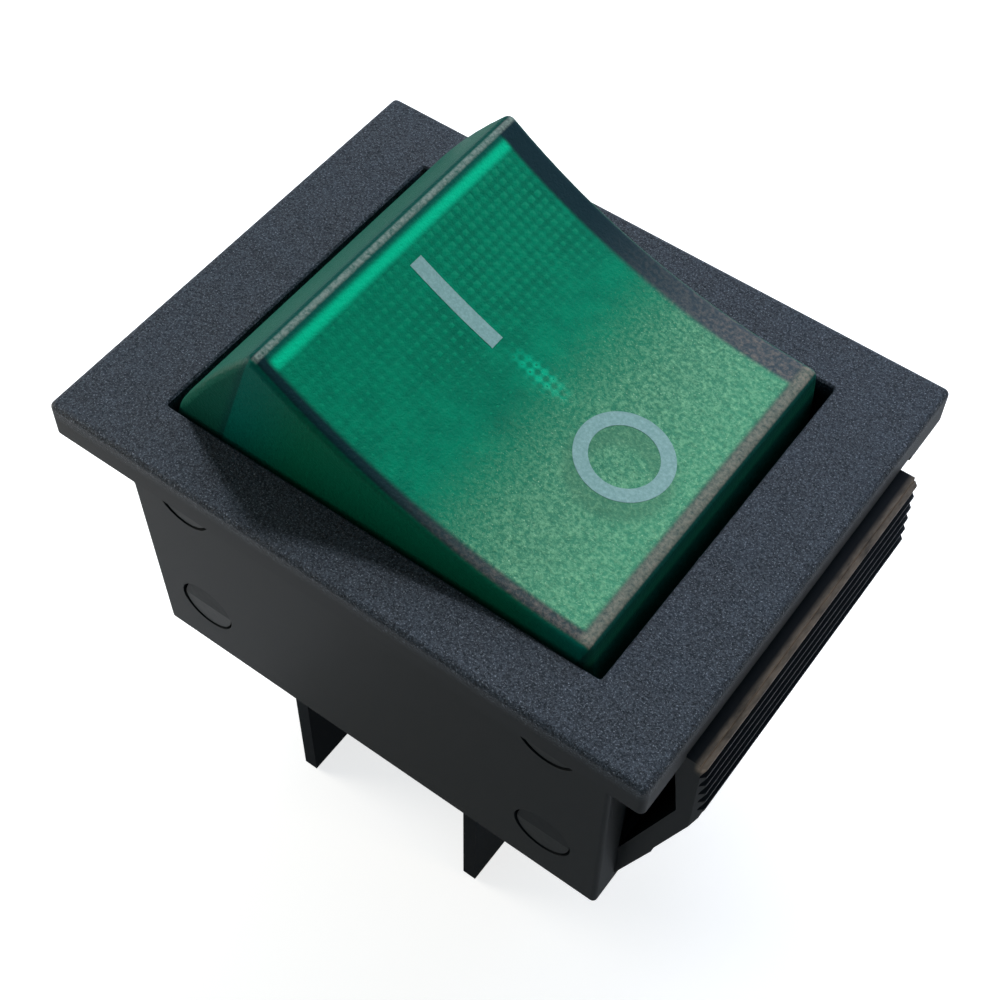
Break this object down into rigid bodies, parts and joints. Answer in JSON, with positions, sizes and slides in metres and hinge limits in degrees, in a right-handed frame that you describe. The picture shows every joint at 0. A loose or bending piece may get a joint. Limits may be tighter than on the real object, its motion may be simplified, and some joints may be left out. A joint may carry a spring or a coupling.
{
  "type": "panel rocker switch",
  "caption": "Snap-in panel rocker switch with a see-through green rocker, snap wings, blade terminals and a lit double-pole contact set inside.",
  "frame": {"origin": "centre of the panel cut-out, on the bezel's underside, which seats on the panel", "axes": "+Z out of the panel towards the user, +X along the bezel towards the O end of the rocker, +Y across it towards the rear pole; the rocker is drawn in the off position"},
  "size_m": [0.0342, 0.0252, 0.0356],
  "materials": {
    "housing_nylon": "spark-textured moulding",
    "base_nylon": "smooth moulding",
    "rocker_green": "see-through, semi-gloss",
    "terminal_metal": "tin-plated strip",
    "contact_silver": "satin",
    "lever_brass": "rolled strip",
    "plunger_nylon": "smooth",
    "spring_steel": "drawn wire",
    "lamp_glass": "clear",
    "lead_wire": "tinned wire",
    "resistor_ceramic": "lacquered"
  },
  "bodies": {
    "switch_body": {"housing": "housing_nylon", "contact_base": "base_nylon", "common_terminal_front": "terminal_metal", "common_terminal_rear": "terminal_metal", "load_terminal_front": "terminal_metal", "load_terminal_rear": "terminal_metal", "fixed_contact_front": "contact_silver", "fixed_contact_rear": "contact_silver", "lamp_glass": "lamp_glass", "lamp_electrode_front": "lead_wire", "lamp_electrode_rear": "lead_wire", "lamp_lead_front": "lead_wire", "lamp_lead_rear": "lead_wire", "resistor_lead": "lead_wire", "resistor_body": "resistor_ceramic", "resistor_cap_lamp_side": "lead_wire", "resistor_cap_line_side": "lead_wire"},
    "rocker": {"rocker": "rocker_green", "plunger_spring_front": "spring_steel", "plunger_spring_rear": "spring_steel"},
    "plunger_front": {"plunger_front": "plunger_nylon"},
    "plunger_rear": {"plunger_rear": "plunger_nylon"},
    "lever_front": {"contact_lever_front": "lever_brass", "moving_contact_front": "contact_silver"},
    "lever_rear": {"contact_lever_rear": "lever_brass", "moving_contact_rear": "contact_silver"}
  },
  "joints": [
    {"name": "rocker_tilt", "type": "hinge", "parent": "switch_body", "child": "rocker", "pos_m": [0, 0, -0.00086], "axis": [0, -1, 0], "range_deg": [0, 37.6]},
    {"name": "lever_front_tilt", "type": "hinge", "parent": "switch_body", "child": "lever_front", "pos_m": [0, -0.0063, -0.0123], "axis": [0, -1, 0], "range_deg": [-18.8, 0]},
    {"name": "lever_rear_tilt", "type": "hinge", "parent": "switch_body", "child": "lever_rear", "pos_m": [0, 0.0063, -0.0123], "axis": [0, -1, 0], "range_deg": [-18.8, 0]},
    {"name": "plunger_front_slide", "type": "slide", "parent": "rocker", "child": "plunger_front", "axis": [0.3223, 0, 0.9466], "range_m": [0, 0.0009], "stiffness_N_per_m": 300, "springref_m": -0.002, "deforming": ["plunger_spring_front"]},
    {"name": "plunger_rear_slide", "type": "slide", "parent": "rocker", "child": "plunger_rear", "axis": [0.3223, 0, 0.9466], "range_m": [0, 0.0009], "stiffness_N_per_m": 300, "springref_m": -0.002, "deforming": ["plunger_spring_rear"]}
  ],
  "couplings": [
    {"joint": "lever_front_tilt", "follows": "rocker_tilt", "ratio": -0.5},
    {"joint": "lever_rear_tilt", "follows": "rocker_tilt", "ratio": -0.5}
  ]
}
